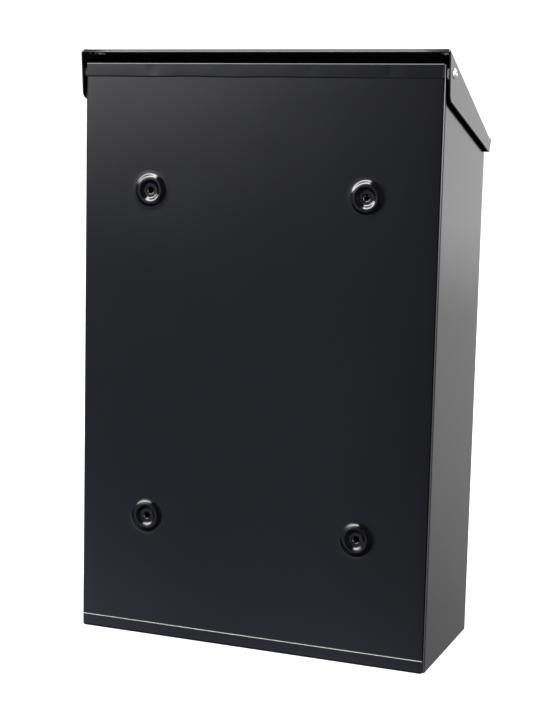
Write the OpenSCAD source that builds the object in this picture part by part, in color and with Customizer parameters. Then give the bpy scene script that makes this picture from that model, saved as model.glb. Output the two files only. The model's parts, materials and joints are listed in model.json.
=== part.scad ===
// Wall mounted mailbox of folded steel sheet, in millimetres.
// X runs to the right and Y to the rear, as seen by a person who faces the door.
// The origin is the centre of the four wall holes, on the back panel's outer face.
// The modules work in body coordinates, with heights measured from the underside,
// and placed() moves them to the origin.

/* [Body] */
// Width across the side walls
body_w = 264; // [256:1:280]
// Depth from the back panel's outer face to the front face
body_d = 113; // [110:1:113]
// Height of the back panel
body_h = 413; // [405:1:430]
// Thickness of the steel sheet
sheet = 1; // [0.8:0.1:1.1]
// Outside radius of a bend
bend_r = 2; // [1.8:0.1:2.5]
// Width of the front return beside the door
return_w = 15; // [14:1:18]
// Height of the hem folded over at the top of the back panel
hem_h = 9.5; // [8:0.5:12]
// Drop from the back panel's top to the side walls' top
side_drop = 1; // [0.5:0.1:1.5]

/* [Wall fixing] */
// Distance between the holes across the back
hole_dx = 160; // [140:1:180]
// Distance between the holes up the back
hole_dz = 235; // [210:1:260]
// Height of the centre of the hole pattern above the underside
hole_centre_h = 206.5; // [200:0.5:215]
// Diameter of each wall hole
hole_dia = 5; // [4:0.5:6]
// Outside diameter of the raised ring around a wall hole
ring_dia = 24.5; // [23:0.5:26]
// Height of the raised ring
ring_h = 1.5; // [1.3:0.1:2]

/* [Bottom pan] */
// Height of the flange outside the back panel
rear_flange_h = 9.5; // [8:0.5:12]
// Height of the sill below the door
sill_h = 10; // [9:0.5:12]
// Depth of the sill's top
sill_d = 15.3; // [14:0.1:17]

/* [Front rail] */
// Height of the rail's lower flange above the underside
rail_bottom = 322; // [315:1:325]
// Height of the hemmed edge below the letter slot
rail_top = 361.5; // [358:0.5:361.5]
// Depth of the lower flange
rail_flange_d = 15.3; // [14:0.1:17]
// Height of the door stop folded down from the flange
stop_h = 6; // [4:0.5:8]

/* [Lid] */
// Slope of the lid in degrees
lid_slope = 25.2; // [24.5:0.1:25.5]
// Height of the lid's outer face above the back panel's top, at the back
lid_rise = 8.2; // [8.1:0.1:8.8]
// Gap between a side wall and the lid's cheek
cheek_gap = 2; // [1.5:0.1:3]
// Overhang of the lid behind the back panel
lid_rear = 1.2; // [1:0.1:1.3]
// Overhang of the lid in front of the front face
lid_front = 6; // [6:0.1:8]
// Height of the front lip, square to the lid
lip_h = 10; // [9:0.5:11]
// Depth at which the cheek's rear corner sits
cheek_corner_d = 1; // [0:0.5:6]
// Height of the cheek's rear corner below the back panel's top
cheek_corner_drop = 24; // [22:0.5:26]
// Radius of the cheek's rear corner
cheek_corner_r = 6; // [4:0.5:8]

/* [Lid pivot] */
// Distance of the pivot from the back panel's outer face
pivot_d = 9.6; // [9:0.1:10.5]
// Distance of the pivot below the back panel's top
pivot_drop = 6.6; // [6:0.1:7]
// Diameter of the rivet's shank
rivet_dia = 4; // [3.2:0.1:4]
// Diameter of the rivet's head
rivet_head_dia = 8; // [7:0.5:9]
// Height of the rivet's head
rivet_head_h = 1.7; // [1.4:0.1:2]

/* [Door] */
// Gap between the door and the returns beside it
door_gap = 1.5; // [1.3:0.1:2]
// Depth of the flanges folded back around the door
door_flange_d = 12; // [10:0.5:12]
// Distance of the hinge axis from the door's edge and from its face
hinge_inset = 6; // [5.5:0.1:6.5]
// Diameter of the hinge pins
pin_dia = 4; // [3:0.5:4.5]

/* [Lock] */
// Distance of the lock from the door's free edge
lock_inset = 22; // [20:1:26]
// Height of the lock above the underside
lock_z = 240; // [120:1:270]
// Diameter of the lock's barrel
barrel_dia = 16; // [15:0.5:17]
// Diameter of the lock's bezel
bezel_dia = 19; // [18:0.5:21]
// Length of the barrel behind the door's face
barrel_len = 15.3; // [14:0.1:16]
// Length of the cam from the lock's axis to its tip
cam_len = 30; // [28:1:34]
// Width of the cam
cam_w = 14; // [12:1:16]

/* [Hidden] */
$fn = 64;
eps = 0.01;
running = 0.06;           // radial clearance of a turning fit
clear = 0.3;              // gap between pieces that pass each other

// Widths and depths that follow from the sheet
inner_w = body_w - 2 * sheet;
mid_r = bend_r - sheet / 2;
half_sheet = sheet / 2;
wall_x = body_w / 2;
front_y = -body_d;
inner_front_y = front_y + sheet;
opening_w = body_w - 2 * return_w;

// The lid's outer face, as a height over a depth
function lid_top(d) = body_h + lid_rise - d * tan(lid_slope);
lid_vertical_t = sheet / cos(lid_slope);
side_clear = 1.25;        // gap between the side walls' top and the lid
side_top = body_h - side_drop;
function side_slope(d) = lid_top(d) - lid_vertical_t - side_clear;
side_flat_d = (side_slope(0) - side_top) / tan(lid_slope);

// Lid
lid_w = body_w + 2 * (cheek_gap + sheet);
lid_rear_len = lid_rear / cos(lid_slope);
lid_front_len = (body_d + lid_front) / cos(lid_slope);
lid_hem_len = 4.5;        // width of the hem under the lid's rear edge
lid_front_d = body_d + lid_front;
pivot_z = body_h - pivot_drop;
buffer_h = 4.5;
buffer_dia = 9;
lid_buffer_x = 100;
lid_buffer_d = body_d;    // puts the lid buffers over the rail's hem

// Wall rings, as radii of the pressed profile
hole_r = hole_dia / 2;
ring_r = ring_dia / 2;
ring_slope_w = 3.7;       // widths of the ring's outer slope, crest and inner slope
ring_crest_w = 0.8;
ring_dish_w = 2.85;
crest_out_r = ring_r - ring_slope_w;
crest_in_r = crest_out_r - ring_crest_w;
ring_floor_r = crest_in_r - ring_dish_w;
ring_shift = 0.2 * sheet;  // keeps the pressed slopes near the sheet's thickness

// Pan, sill and rail
pan_w = inner_w - 2 * clear;
flange_inset = 1.5;       // distance of the rear flange's ends from the side walls' faces
flange_w = body_w - 2 * flange_inset;
sill_w = opening_w - 2 * clear;
corner_relief = bend_r + sheet;
rail_w = body_w - 2 * (bend_r + clear);
hem_leaf = 1.2 * sheet;   // distance between the two leaves of a closed hem
hem_mid_r = 0.5 * sheet;
rail_hem_h = 8;
stop_notch = 20;          // width of door stop left out beside the hinge

// Door
door_w = opening_w - 2 * door_gap;
door_bottom = sill_h + door_gap;
door_top = rail_bottom - door_gap;
hinge_x = -door_w / 2 + hinge_inset;
hinge_y = front_y + hinge_inset;
pin_r = pin_dia / 2;
pin_head_r = pin_r + sheet;
pin_head_t = 1.2;
pin_reach = 6;
bush_wall = 1;
bush_r = pin_r + running + bush_wall;
bush_rim = 2;
bush_flange_r = bush_r + bush_rim;
bush_flange_t = door_gap - clear;
bush_len = 3;
door_buffer_t = 2;
door_buffer_r = 2.5;
door_buffer_x = 100;
door_buffer_pitch = 60;

// Lock
lock_x = door_w / 2 - lock_inset;
barrel_r = barrel_dia / 2;
bezel_r = bezel_dia / 2;
gasket_t = 0.8;
bezel_t = 1.8;
bezel_bevel = 0.8;
plug_r = 6;
nut_r = 12;
nut_t = 3;
barrel_flat = 1;          // depth of the flats on the barrel's sides
barrel_end_y = front_y + barrel_len;
cam_t = 2;
cam_y = barrel_end_y + clear;
cam_tip_w = 10;
tail_w = 6;               // the plug's square tail
key_w = 1.6;
key_h = 8;
key_depth = 9;
screw_r = 2;
screw_len = 8;
screw_head_r = 4.2;
screw_head_t = 2.8;
washer_t = 0.8;
washer_r = 6;

// Strike
strike_h = 70;
strike_x = wall_x - return_w + sheet;
strike_end_y = cam_y - clear * 2;

// Rivets
rivet_r = rivet_dia / 2;
rivet_head_r = rivet_head_dia / 2;
rivet_dome_r = (rivet_head_r ^ 2 + rivet_head_h ^ 2) / (2 * rivet_head_h);
rivet_hole_r = 1.1;
rivet_tail_r = 3;
rivet_tail_len = 4;
rivet_play = 0.1;
back_washer_t = 0.8;
back_washer_r = 4.6;
spacer_r = 3.6;
cheek_out_x = wall_x + cheek_gap + sheet;
mandrel_r = 1.05;
mandrel_head_r = 1.6;
mandrel_recess = 0.5;     // depth of the broken mandrel below the head's top

// Colours
paint = [0.10, 0.10, 0.11];
aluminium = [0.78, 0.79, 0.80];
steel = [0.62, 0.63, 0.64];
chrome = [0.80, 0.81, 0.83];
nickel = [0.74, 0.72, 0.68];
rubber = [0.05, 0.05, 0.05];
nylon = [0.85, 0.84, 0.80];

// ---- Helpers -------------------------------------------------------------

// Moves body coordinates to the origin at the wall holes
module placed() {
    translate([0, 0, -hole_centre_h]) children();
}

// Draws the right-hand piece for side 1 and the left-hand one for side -1
module on_side(side) {
    if (side > 0) children();
    else mirror([1, 0, 0]) children();
}

// Lid coordinates: Y up the slope to the rear, Z square to the lid's outer face
module on_lid() {
    translate([0, 0, body_h + lid_rise]) rotate([lid_slope, 0, 0]) children();
}

// Extrudes a drawing of Y and Z along X, centred
module across(width) {
    translate([-width / 2, 0, 0]) rotate([90, 0, 90]) linear_extrude(width) children();
}

// Extrudes a drawing of X and Z along Y, from y0 to y1
module through(y0, y1) {
    translate([0, y1, 0]) rotate([90, 0, 0]) linear_extrude(y1 - y0) children();
}

// Turns the Z axis to run along +Y
module along_y() {
    rotate([-90, 0, 0]) children();
}

// Turns the Z axis to run along +X
module along_x() {
    rotate([0, 90, 0]) children();
}

function unit(v) = v / norm(v);
function half_angle(a, p, b) = acos(unit(a - p) * unit(b - p)) / 2;
function tangent_len(a, p, b, r) = r / tan(half_angle(a, p, b));
function arc_centre(a, p, b, r) =
    p + unit(unit(a - p) + unit(b - p)) * r / sin(half_angle(a, p, b));

// A convex outline whose corners are rounded by the radii given
module rounded_outline(points, radii) {
    n = len(points);
    polygon([
        for (i = [0 : n - 1])
            let (a = points[(i + n - 1) % n], p = points[i], b = points[(i + 1) % n], r = radii[i])
            each r == 0 ? [p] : [
                p + unit(a - p) * tangent_len(a, p, b, r),
                p + unit(b - p) * tangent_len(a, p, b, r)
            ]
    ]);
    for (i = [0 : n - 1])
        if (radii[i] > 0)
            translate(arc_centre(points[(i + n - 1) % n], points[i], points[(i + 1) % n], radii[i]))
                circle(radii[i]);
}

// Section of a folded sheet: mid-line points, joined by bends of mid-line radius r
module folded(points, r = mid_r) {
    last = len(points) - 1;
    function trim(i) = i == 0 || i == last ? 0 : tangent_len(points[i - 1], points[i], points[i + 1], r);
    for (i = [0 : last - 1]) {
        run = points[i + 1] - points[i];
        translate(points[i]) rotate(atan2(run[1], run[0])) translate([trim(i), -half_sheet])
            square([norm(run) - trim(i) - trim(i + 1), sheet]);
    }
    for (i = [1 : last - 1]) {
        a = points[i - 1];
        p = points[i];
        b = points[i + 1];
        c = arc_centre(a, p, b, r);
        t1 = p + unit(a - p) * trim(i);
        t2 = p + unit(b - p) * trim(i);
        reach = (r + sheet) / r;
        intersection() {
            translate(c) difference() {
                circle(r + half_sheet);
                circle(r - half_sheet);
            }
            polygon([c, c + (t1 - c) * reach, c + (p - c) * reach, c + (t2 - c) * reach]);
        }
    }
}

// Places a copy at each wall hole
module at_wall_holes() {
    for (x = [-1, 1], z = [-1, 1])
        translate([x * hole_dx / 2, 0, hole_centre_h + z * hole_dz / 2]) along_y() children();
}

// Places a copy at the right-hand lid pivot
module at_pivot(x) {
    translate([x, -pivot_d, pivot_z]) along_x() children();
}

// Places a copy on the lock's axis at a depth, running to the rear
module at_lock(y) {
    translate([lock_x, y, lock_z]) along_y() children();
}

// Round disc or sleeve
module ring(r_out, r_in, t) {
    difference() {
        cylinder(r = r_out, h = t);
        translate([0, 0, -eps]) cylinder(r = r_in, h = t + 2 * eps);
    }
}

// ---- Body ----------------------------------------------------------------

// Plan of the back, the side walls and the front returns
module shell_plan() {
    x = wall_x - half_sheet;
    y = front_y + half_sheet;
    end = opening_w / 2;
    folded([[-end, y], [-x, y], [-x, -half_sheet], [x, -half_sheet], [x, y], [end, y]]);
}

// Side view that the shell is cut to: its top slopes below the lid, and its back
// stops above the bend of the bottom pan's flange
module shell_side_outline() {
    polygon([
        [sheet, bend_r], [sheet, body_h], [-sheet, body_h], [-sheet, side_top],
        [-side_flat_d, side_top], [front_y, side_slope(body_d)], [front_y, sheet],
        [-bend_r, sheet], [-bend_r, bend_r]
    ]);
}

// Raised ring pressed around a wall hole, its axis along Z
module pressed_ring() {
    rotate_extrude() polygon([
        [hole_r, 0], [ring_floor_r, 0], [crest_in_r, ring_h], [crest_out_r, ring_h],
        [ring_r, 0], [ring_r, -sheet], [ring_r - ring_shift, -sheet],
        [crest_out_r - ring_shift, ring_h - sheet], [crest_in_r + ring_shift, ring_h - sheet],
        [ring_floor_r + ring_shift, -sheet], [hole_r, -sheet]
    ]);
}

// Hem folded outwards over the back panel's top edge
module back_hem() {
    across(flange_w) {
        translate([0, body_h - hem_h]) square([sheet, hem_h - sheet]);
        translate([0, body_h - sheet]) circle(sheet);
    }
}

module body_shell() {
    color(paint) placed() {
        difference() {
            intersection() {
                linear_extrude(body_h) shell_plan();
                across(body_w) shell_side_outline();
            }
            at_wall_holes() translate([0, 0, -2 * sheet]) cylinder(r = ring_r, h = 3 * sheet);
            at_pivot(-body_w) cylinder(r = rivet_r, h = 2 * body_w);
            // the back panel's top edge gives way to the rolled hem
            translate([-flange_w / 2, -sheet, body_h - sheet]) cube([flange_w, sheet, 2 * sheet]);
        }
        at_wall_holes() pressed_ring();
        back_hem();
    }
}

// Rear flange, floor, side flanges and the sill that carries the lower hinge pin
module bottom_pan() {
    x = pan_w / 2 - half_sheet;
    y0 = inner_front_y + half_sheet;
    side_y0 = front_y + corner_relief - clear;
    side_y1 = -corner_relief;
    color(paint) placed() {
        through(side_y0, side_y1)
            folded([[-x, rear_flange_h], [-x, half_sheet], [x, half_sheet], [x, rear_flange_h]]);
        intersection() {
            across(flange_w) folded([[half_sheet, rear_flange_h], [half_sheet, half_sheet],
                                     [side_y1, half_sheet]]);
            through(side_y1, sheet) rounded_outline(
                [[-flange_w / 2, 0], [flange_w / 2, 0],
                 [flange_w / 2, rear_flange_h], [-flange_w / 2, rear_flange_h]],
                [0, 0, bend_r, bend_r]);
        }
        difference() {
            across(sill_w) folded([[side_y0, half_sheet], [front_y + half_sheet, half_sheet],
                                   [front_y + half_sheet, sill_h - half_sheet],
                                   [front_y + sill_d, sill_h - half_sheet]]);
            hinge_axis(0) cylinder(r = pin_r, h = sill_h + sheet);
        }
        // floor under the front returns, beside the sill
        for (side = [-1, 1]) on_side(side)
            translate([sill_w / 2, front_y + clear, 0])
                cube([pan_w / 2 - bend_r - sill_w / 2, side_y0 - front_y - clear, sheet]);
    }
}

// Rail between the door and the letter slot, with a hemmed top and a door stop
module front_rail() {
    y = inner_front_y + half_sheet;
    leaf_y = y + hem_leaf;
    stop_y = front_y + rail_flange_d - half_sheet;
    top = rail_top - half_sheet;
    low = rail_bottom + half_sheet;
    hem_foot = rail_top - rail_hem_h;
    color(paint) placed() difference() {
        across(rail_w) {
            folded([[y, hem_foot], [y, low], [stop_y, low], [stop_y, rail_bottom - stop_h]]);
            folded([[leaf_y, hem_foot], [leaf_y, top], [y, top], [y, hem_foot]], hem_mid_r);
        }
        hinge_axis(rail_bottom - sheet) cylinder(r = pin_r, h = 3 * sheet);
        translate([-body_w / 2, stop_y - sheet, rail_bottom - stop_h - sheet])
            cube([return_w + stop_notch, 2 * sheet + eps, stop_h + sheet]);
    }
}

// Angle behind the right-hand return that the lock's cam turns behind
module strike_bracket() {
    y = inner_front_y + half_sheet;
    x = strike_x + half_sheet;
    color(paint) placed() translate([0, 0, lock_z - strike_h / 2]) linear_extrude(strike_h)
        folded([[wall_x - bend_r - sheet, y], [x, y], [x, strike_end_y]]);
}

module door_buffers() {
    color(rubber) placed() for (i = [0, 1])
        translate([door_buffer_x - i * door_buffer_pitch,
                   front_y + rail_flange_d - sheet - door_buffer_t, rail_bottom - stop_h / 2 - half_sheet])
            along_y() cylinder(r = door_buffer_r, h = door_buffer_t);
}

// ---- Lid pivots ----------------------------------------------------------

// Blind rivet: domed head outside the cheek, formed tail inside the wall
module pivot_rivet() {
    head_x = cheek_out_x + rivet_play;
    tail_x = wall_x - sheet - back_washer_t;
    color(aluminium) placed() difference() {
        union() {
            at_pivot(tail_x - rivet_tail_len) {
                cylinder(r = rivet_tail_r, h = rivet_tail_len);
                cylinder(r = rivet_r, h = head_x - tail_x + rivet_tail_len + half_sheet);
            }
            at_pivot(head_x) intersection() {
                translate([0, 0, rivet_head_h - rivet_dome_r]) sphere(r = rivet_dome_r);
                cylinder(r = rivet_head_r, h = rivet_head_h);
            }
        }
        at_pivot(tail_x - rivet_tail_len - eps) cylinder(r = rivet_hole_r, h = body_w);
    }
}

// Broken mandrel left in the rivet
module rivet_mandrel() {
    head_top = cheek_out_x + rivet_play + rivet_head_h;
    tail_end = wall_x - sheet - back_washer_t - rivet_tail_len;
    color(steel) placed() {
        at_pivot(tail_end) cylinder(r = mandrel_r, h = head_top - mandrel_recess - tail_end);
        at_pivot(tail_end - mandrel_head_r) cylinder(r = mandrel_head_r, h = mandrel_head_r - clear / 2);
        at_pivot(tail_end - clear) cylinder(r = mandrel_r, h = clear + eps);
    }
}

module pivot_spacer() {
    color(nylon) placed() at_pivot(wall_x) ring(spacer_r, rivet_r, cheek_gap - rivet_play);
}

module pivot_back_washer() {
    color(steel) placed() at_pivot(wall_x - sheet - back_washer_t)
        ring(back_washer_r, rivet_r, back_washer_t);
}

// ---- Lid -----------------------------------------------------------------

// Side view of the lid's cheek, from its rear edge to the front lip
module cheek_outline() {
    front = [-lid_front_d, lid_top(lid_front_d)];
    lip_end = front + lip_h * [sin(lid_slope), -cos(lid_slope)];
    rounded_outline(
        [[lid_rear, lid_top(-lid_rear)], front, lip_end, [-cheek_corner_d, body_h - cheek_corner_drop]],
        [0, bend_r, 0, cheek_corner_r]);
}

module lid() {
    x = lid_w / 2 - half_sheet;
    z = -half_sheet;
    rear = lid_rear_len;
    front = -lid_front_len + half_sheet;
    skirt = body_d;       // longer than the deepest cheek
    color(paint) placed() difference() {
        union() {
            intersection() {
                on_lid() through(-lid_front_len, rear)
                    folded([[-x, -skirt], [-x, z], [x, z], [x, -skirt]]);
                across(lid_w) cheek_outline();
            }
            on_lid() {
                across(lid_w - 2 * bend_r) folded([[0, z], [front, z], [front, -lip_h]]);
                across(lid_w - 2 * corner_relief)
                    translate([rear - lid_hem_len, -2 * sheet]) square([lid_hem_len, sheet]);
            }
        }
        at_pivot(-body_w) cylinder(r = rivet_r + running, h = 2 * body_w);
    }
}

// Rubber stops under the lid that rest on the rail's hem
module lid_buffers() {
    color(rubber) placed() on_lid() for (side = [-1, 1])
        translate([side * lid_buffer_x, -lid_buffer_d / cos(lid_slope), -sheet - buffer_h])
            cylinder(d = buffer_dia, h = buffer_h);
}

// ---- Door ----------------------------------------------------------------

// Upright axis of the door's hinge, from a height
module hinge_axis(z) {
    translate([hinge_x, hinge_y, z]) children();
}

// Shallow tray: face with flanges on its four edges and relieved corners
module door_panel() {
    x = door_w / 2 - half_sheet;
    y = front_y + half_sheet;
    back = front_y + door_flange_d;
    color(paint) placed() difference() {
        union() {
            translate([0, 0, door_bottom + corner_relief])
                linear_extrude(door_top - door_bottom - 2 * corner_relief)
                    folded([[-x, back], [-x, y], [x, y], [x, back]]);
            across(door_w - 2 * corner_relief)
                folded([[back, door_bottom + half_sheet], [y, door_bottom + half_sheet],
                        [y, door_top - half_sheet], [back, door_top - half_sheet]]);
        }
        hinge_axis(door_bottom - sheet) cylinder(r = bush_r, h = 3 * sheet);
        hinge_axis(door_top - 2 * sheet) cylinder(r = bush_r, h = 3 * sheet);
        at_lock(front_y - sheet) cylinder(r = barrel_r, h = 3 * sheet);
    }
}

// Flanged bush, its flange on the outside of the door's flange
module hinge_bush() {
    difference() {
        union() {
            cylinder(r = bush_flange_r, h = bush_flange_t);
            cylinder(r = bush_r, h = bush_flange_t + bush_len);
        }
        translate([0, 0, -eps]) cylinder(r = pin_r + running, h = bush_flange_t + bush_len + 2 * eps);
    }
}

module lower_bush() {
    color(nylon) placed() hinge_axis(door_bottom - bush_flange_t) hinge_bush();
}

module upper_bush() {
    color(nylon) placed() hinge_axis(door_top + bush_flange_t) mirror([0, 0, 1]) hinge_bush();
}

// Headed pin, its head at the bottom
module hinge_pin(grip) {
    translate([0, 0, -pin_head_t]) cylinder(r = pin_head_r, h = pin_head_t);
    cylinder(r = pin_r, h = grip + door_gap + pin_reach);
}

module lower_hinge_pin() {
    color(steel) placed() hinge_axis(sill_h - sheet) hinge_pin(sheet);
}

module upper_hinge_pin() {
    color(steel) placed() hinge_axis(rail_bottom + sheet) mirror([0, 0, 1]) hinge_pin(sheet);
}

// ---- Lock ----------------------------------------------------------------

// Bezel and flatted barrel
module lock_body() {
    face_y = front_y - gasket_t;
    color(chrome) placed() difference() {
        union() {
            at_lock(face_y - bezel_t) cylinder(r1 = bezel_r - bezel_bevel, r2 = bezel_r, h = bezel_bevel);
            at_lock(face_y - bezel_t + bezel_bevel) cylinder(r = bezel_r, h = bezel_t - bezel_bevel);
            intersection() {
                at_lock(face_y - half_sheet) cylinder(r = barrel_r, h = barrel_end_y - face_y + half_sheet);
                translate([lock_x - barrel_r + barrel_flat, face_y - sheet, lock_z - barrel_r])
                    cube([2 * (barrel_r - barrel_flat), body_d, 2 * barrel_r]);
            }
        }
        at_lock(face_y - 2 * bezel_t) cylinder(r = plug_r + running, h = body_d);
    }
}

module lock_gasket() {
    color(rubber) placed() at_lock(front_y - gasket_t) ring(bezel_r, barrel_r, gasket_t);
}

module lock_nut() {
    color(steel) placed() at_lock(inner_front_y) difference() {
        cylinder(r = nut_r, h = nut_t, $fn = 6);
        translate([0, 0, -eps]) cylinder(r = barrel_r, h = nut_t + 2 * eps);
    }
}

// Plug with its keyway at the front and its square tail at the rear
module lock_plug() {
    plug_front = front_y - gasket_t - bezel_t + clear;
    color(nickel) placed() difference() {
        union() {
            at_lock(plug_front) cylinder(r = plug_r, h = barrel_end_y - plug_front);
            translate([lock_x - tail_w / 2, barrel_end_y - eps, lock_z - tail_w / 2])
                cube([tail_w, cam_t + clear / 2 + eps, tail_w]);
        }
        translate([lock_x - key_w / 2, plug_front - eps, lock_z - key_h / 2])
            cube([key_w, key_depth, key_h]);
        at_lock(barrel_end_y + cam_t - screw_len) cylinder(r = screw_r, h = body_d);
    }
}

// Flat cam, hanging down when the door is unlocked
module lock_cam() {
    tip_r = cam_tip_w / 2;
    root_r = cam_w / 2 - half_sheet;
    color(steel) placed() translate([lock_x, 0, lock_z]) difference() {
        union() {
            through(cam_y, cam_y + cam_t) circle(d = cam_w);
            through(cam_y, cam_y + cam_t) polygon(
                [[-root_r, 0], [root_r, 0], [tip_r, tip_r - cam_len], [-tip_r, tip_r - cam_len]]);
            through(cam_y, cam_y + cam_t) translate([0, tip_r - cam_len]) circle(tip_r);
        }
        translate([-tail_w / 2, cam_y - cam_t, -tail_w / 2]) cube([tail_w, 3 * cam_t, tail_w]);
    }
}

module cam_washer() {
    color(steel) placed() at_lock(cam_y + cam_t) ring(washer_r, screw_r, washer_t);
}

// Hexagon screw that holds the cam on the plug
module cam_screw() {
    head_y = cam_y + cam_t + washer_t;
    color(steel) placed() {
        at_lock(head_y) cylinder(r = screw_head_r, h = screw_head_t, $fn = 6);
        at_lock(head_y - screw_len) cylinder(r = screw_r, h = screw_len);
    }
}

body_shell();
bottom_pan();
front_rail();
strike_bracket();
door_buffers();
on_side(-1) pivot_rivet();  // left_rivet
on_side(1) pivot_rivet();  // right_rivet
on_side(-1) rivet_mandrel();  // left_mandrel
on_side(1) rivet_mandrel();  // right_mandrel
on_side(-1) pivot_spacer();  // left_spacer
on_side(1) pivot_spacer();  // right_spacer
on_side(-1) pivot_back_washer();  // left_back_washer
on_side(1) pivot_back_washer();  // right_back_washer
upper_hinge_pin();
lower_hinge_pin();
lid();
lid_buffers();
door_panel();
upper_bush();
lower_bush();
lock_body();
lock_gasket();
lock_nut();
lock_plug();
lock_cam();
cam_washer();
cam_screw();
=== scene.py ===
import json
import math

import bmesh
import bpy
from mathutils import Matrix, Vector, noise


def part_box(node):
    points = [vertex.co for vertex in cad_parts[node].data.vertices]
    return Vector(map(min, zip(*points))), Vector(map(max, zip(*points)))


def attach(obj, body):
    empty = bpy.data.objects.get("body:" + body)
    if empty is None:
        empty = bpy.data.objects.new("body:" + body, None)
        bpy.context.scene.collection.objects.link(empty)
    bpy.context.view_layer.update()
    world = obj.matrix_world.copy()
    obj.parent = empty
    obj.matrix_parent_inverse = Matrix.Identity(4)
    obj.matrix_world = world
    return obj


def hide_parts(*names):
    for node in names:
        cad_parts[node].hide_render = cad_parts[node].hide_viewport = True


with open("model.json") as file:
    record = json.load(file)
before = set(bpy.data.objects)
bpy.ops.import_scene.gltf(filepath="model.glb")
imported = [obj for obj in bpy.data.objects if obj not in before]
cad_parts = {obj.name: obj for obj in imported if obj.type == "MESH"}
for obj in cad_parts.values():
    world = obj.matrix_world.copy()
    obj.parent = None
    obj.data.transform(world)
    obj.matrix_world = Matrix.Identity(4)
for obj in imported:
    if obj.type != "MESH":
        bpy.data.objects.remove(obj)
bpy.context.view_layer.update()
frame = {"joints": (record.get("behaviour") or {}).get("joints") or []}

# ---- Sizes, in metres ------------------------------------------------------

MM = 0.001
SHEET = 1 * MM
HALF = SHEET / 2
MID_R = 1.5 * MM              # mid-surface radius of a bend
HEM_R = 0.55 * MM             # mid-surface radius of a closed hem
EDGE = 0.32 * MM              # rounding that the paint gives a cut edge
BEND_STEPS = 6
BARREL_R = 8 * MM             # the lock's barrel and its hole in the door
FLARE_RISE = 0.5 * MM         # height over which a flange widens or narrows
RUNNING = 0.06 * MM           # radial clearance of a turning fit

shell_low, shell_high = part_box("body_shell")
pan_low, pan_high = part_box("bottom_pan")
rail_low, rail_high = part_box("front_rail")
door_low, door_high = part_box("door_panel")
lid_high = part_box("lid")[1]
joints = {joint["name"]: joint for joint in frame["joints"]}
pivot = Vector(joints["lid_pivot"]["pos_m"])
hinge = Vector(joints["door_hinge"]["pos_m"])
lock = Vector(joints["lock_turn"]["pos_m"])

WALL_X = shell_high.x
FRONT_Y = shell_low.y
TOP_Z = shell_high.z
FLOOR_Z = pan_low.z
RETURN_W = 15 * MM
HOLE_X = 80 * MM
HOLE_Z = 117.5 * MM
HOLE_R = 2.5 * MM
RING_R = 12.25 * MM
RING_H = shell_high.y

LID_SLOPE = math.radians(25.2)
LID_RISE = 8.2 * MM
LID_REAR = 1.2 * MM
LID_FRONT = 6 * MM
LIP_H = 10 * MM
LID_HEM = 4.5 * MM
CHEEK_X = lid_high.x - HALF
CHEEK_CORNER = Vector((-1 * MM, TOP_Z - 24 * MM))
CHEEK_CORNER_R = 6 * MM
SIDE_DROP = 1 * MM
SIDE_CLEAR = 1.25 * MM        # between a side wall's top and the lid
FLANGE_INSET = 1.5 * MM       # hem and rear flange end this far in from the side walls


# ---- Outlines and stops ----------------------------------------------------

def spread(start, end, spacing, blocks=()):
    """Stops from start to end, about spacing apart. Blocks are (low, high, count) with their own count."""
    edges = [start, *sorted(v for low, high, _ in blocks for v in (low, high)), end]
    counts = {(low, high): count for low, high, count in blocks}
    stops = [start]
    for a, b in zip(edges, edges[1:]):
        count = counts.get((a, b)) or max(1, round((b - a) / spacing))
        stops += [a + (b - a) * k / count for k in range(1, count + 1)]
    return stops


def smooth(t):
    """Smooth step of t from 0 to 1."""
    t = min(max(t, 0.0), 1.0)
    return t * t * (3 - 2 * t)


def arc(centre, radius, start, end, steps):
    """Points on an arc in a plane, from one angle to another in degrees."""
    turn = [math.radians(start + (end - start) * k / steps) for k in range(steps + 1)]
    return [Vector((centre[0] + radius * math.cos(t), centre[1] + radius * math.sin(t))) for t in turn]


def fold_path(*moves, step=15):
    """(out, up) points of a folded edge. Each move is (turn in degrees, bend radius, straight run)."""
    here, heading, points = Vector((0, 0)), 0.0, []
    for turn, radius, run in moves:
        steps = round(abs(turn) / step)
        for _ in range(steps):
            half_turn = math.radians(turn / steps / 2)
            chord = 2 * radius * math.sin(abs(half_turn))
            heading += half_turn
            here = here + chord * Vector((math.cos(heading), math.sin(heading)))
            heading += half_turn
            points.append(here)
        runs = max(1, round(run / (4 * MM))) if run else 0
        for _ in range(runs):
            here = here + run / runs * Vector((math.cos(heading), math.sin(heading)))
            points.append(here)
    return points


def lid_top(y):
    """Height of the lid's outer face at a place along Y."""
    return TOP_Z + LID_RISE + y * math.tan(LID_SLOPE)


def side_top(y):
    """Height of a side wall's top edge at a place along Y."""
    under = lid_top(y) - SHEET / math.cos(LID_SLOPE) - SIDE_CLEAR
    return min(TOP_Z - SIDE_DROP, under)


# ---- Mesh builders ---------------------------------------------------------

def new_piece(name, bm):
    """A smooth-shaded object of a bmesh, which is freed."""
    bmesh.ops.remove_doubles(bm, verts=bm.verts, dist=1e-7)
    bmesh.ops.recalc_face_normals(bm, faces=bm.faces)
    for face in bm.faces:
        face.smooth = True
    mesh = bpy.data.meshes.new(name)
    bm.to_mesh(mesh)
    bm.free()
    piece = bpy.data.objects.new(name, mesh)
    bpy.context.collection.objects.link(piece)
    return piece


def apply_modifiers(piece):
    """Bakes a piece's modifiers into its mesh."""
    depsgraph = bpy.context.evaluated_depsgraph_get()
    mesh = bpy.data.meshes.new_from_object(piece.evaluated_get(depsgraph))
    piece.modifiers.clear()
    piece.data = mesh


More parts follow.
